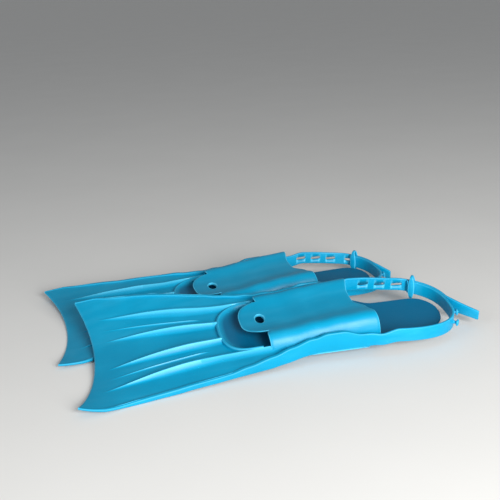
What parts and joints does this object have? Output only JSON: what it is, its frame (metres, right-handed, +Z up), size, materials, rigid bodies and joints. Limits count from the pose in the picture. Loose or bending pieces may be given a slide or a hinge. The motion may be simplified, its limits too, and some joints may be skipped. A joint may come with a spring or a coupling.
{
  "type": "pair of swim fins",
  "caption": "Soft swim fins with open toe, ribbed flared blade, slip-on instep cover and a slotted heel strap held by studs, lying crossed over each other.",
  "frame": {"origin": "middle of the pair's footprint, on the surface the fins lie on", "axes": "+X from blade tips toward the heels, +Y from the upper (front) fin toward the lower (rear) fin, +Z up"},
  "size_m": [0.4528, 0.3162, 0.0525],
  "materials": {
    "blade_rubber": "semi-gloss",
    "rail_rubber": "semi-gloss",
    "pocket_rubber": "semi-gloss",
    "sole_rubber": "matte",
    "strap_rubber": "semi-gloss"
  },
  "bodies": {
    "lower_fin_pocket": {"lower_fin_instep_cover": "pocket_rubber", "lower_fin_left_side_band": "rail_rubber", "lower_fin_right_side_band": "rail_rubber", "lower_fin_sole": "sole_rubber", "lower_fin_toe_rim": "pocket_rubber"},
    "lower_fin_blade_body": {"lower_fin_blade": "blade_rubber", "lower_fin_fine_rib_left": "blade_rubber", "lower_fin_fine_rib_right": "blade_rubber", "lower_fin_inner_rib_left": "blade_rubber", "lower_fin_inner_rib_right": "blade_rubber", "lower_fin_left_rail": "rail_rubber", "lower_fin_outer_rib_left": "blade_rubber", "lower_fin_outer_rib_right": "blade_rubber", "lower_fin_right_rail": "rail_rubber"},
    "lower_fin_heel_strap": {"lower_fin_slotted_strap": "strap_rubber", "lower_fin_strap_keeper": "strap_rubber", "lower_fin_strap_stud_1": "strap_rubber", "lower_fin_strap_stud_2": "strap_rubber", "lower_fin_stud_strap": "strap_rubber"},
    "lower_fin_tail": {"lower_fin_strap_tail": "strap_rubber"},
    "upper_fin_pocket": {"upper_fin_instep_cover": "pocket_rubber", "upper_fin_left_side_band": "rail_rubber", "upper_fin_right_side_band": "rail_rubber", "upper_fin_sole": "sole_rubber", "upper_fin_toe_rim": "pocket_rubber"},
    "upper_fin_blade_body": {"upper_fin_blade": "blade_rubber", "upper_fin_fine_rib_left": "blade_rubber", "upper_fin_fine_rib_right": "blade_rubber", "upper_fin_inner_rib_left": "blade_rubber", "upper_fin_inner_rib_right": "blade_rubber", "upper_fin_left_rail": "rail_rubber", "upper_fin_outer_rib_left": "blade_rubber", "upper_fin_outer_rib_right": "blade_rubber", "upper_fin_right_rail": "rail_rubber"},
    "upper_fin_heel_strap": {"upper_fin_slotted_strap": "strap_rubber", "upper_fin_strap_keeper": "strap_rubber", "upper_fin_strap_stud_1": "strap_rubber", "upper_fin_strap_stud_2": "strap_rubber", "upper_fin_stud_strap": "strap_rubber"},
    "upper_fin_tail": {"upper_fin_strap_tail": "strap_rubber"}
  },
  "joints": [
    {"name": "upper_fin_lift", "type": "slide", "parent": "lower_fin_pocket", "child": "upper_fin_pocket", "axis": [0, 0, 1], "range_m": [0, 0.2]},
    {"name": "lower_fin_blade_flex", "type": "hinge", "parent": "lower_fin_pocket", "child": "lower_fin_blade_body", "pos_m": [-0.07892, 0.0605, 0.0135], "axis": [-0.0477, 0.9977, 0.0488], "range_deg": [-20, 0], "stiffness_Nm_per_rad": 6},
    {"name": "lower_fin_strap_swing", "type": "hinge", "parent": "lower_fin_pocket", "child": "lower_fin_heel_strap", "pos_m": [0.07821, 0.06736, 0.02679], "axis": [0.0477, -0.9977, -0.0488], "range_deg": [0, 60], "stiffness_Nm_per_rad": 0.8},
    {"name": "lower_fin_tail_peel", "type": "hinge", "parent": "lower_fin_heel_strap", "child": "lower_fin_tail", "pos_m": [0.17795, 0.08436, 0.0151], "axis": [-0.0116, -0.0495, 0.9987], "range_deg": [-5, 60], "stiffness_Nm_per_rad": 0.05},
    {"name": "upper_fin_blade_flex", "type": "hinge", "parent": "upper_fin_pocket", "child": "upper_fin_blade_body", "pos_m": [-0.05448, -0.06117, 0.01943], "axis": [0.0459, 0.9893, 0.1386], "range_deg": [0, 25], "stiffness_Nm_per_rad": 6},
    {"name": "upper_fin_strap_swing", "type": "hinge", "parent": "upper_fin_pocket", "child": "upper_fin_heel_strap", "pos_m": [0.10258, -0.07026, 0.0323], "axis": [-0.0459, -0.9893, -0.1386], "range_deg": [0, 60], "stiffness_Nm_per_rad": 0.8},
    {"name": "upper_fin_tail_peel", "type": "hinge", "parent": "upper_fin_heel_strap", "child": "upper_fin_tail", "pos_m": [0.2035, -0.06168, 0.02156], "axis": [-0.0184, -0.1379, 0.9903], "range_deg": [-5, 60], "stiffness_Nm_per_rad": 0.05}
  ]
}
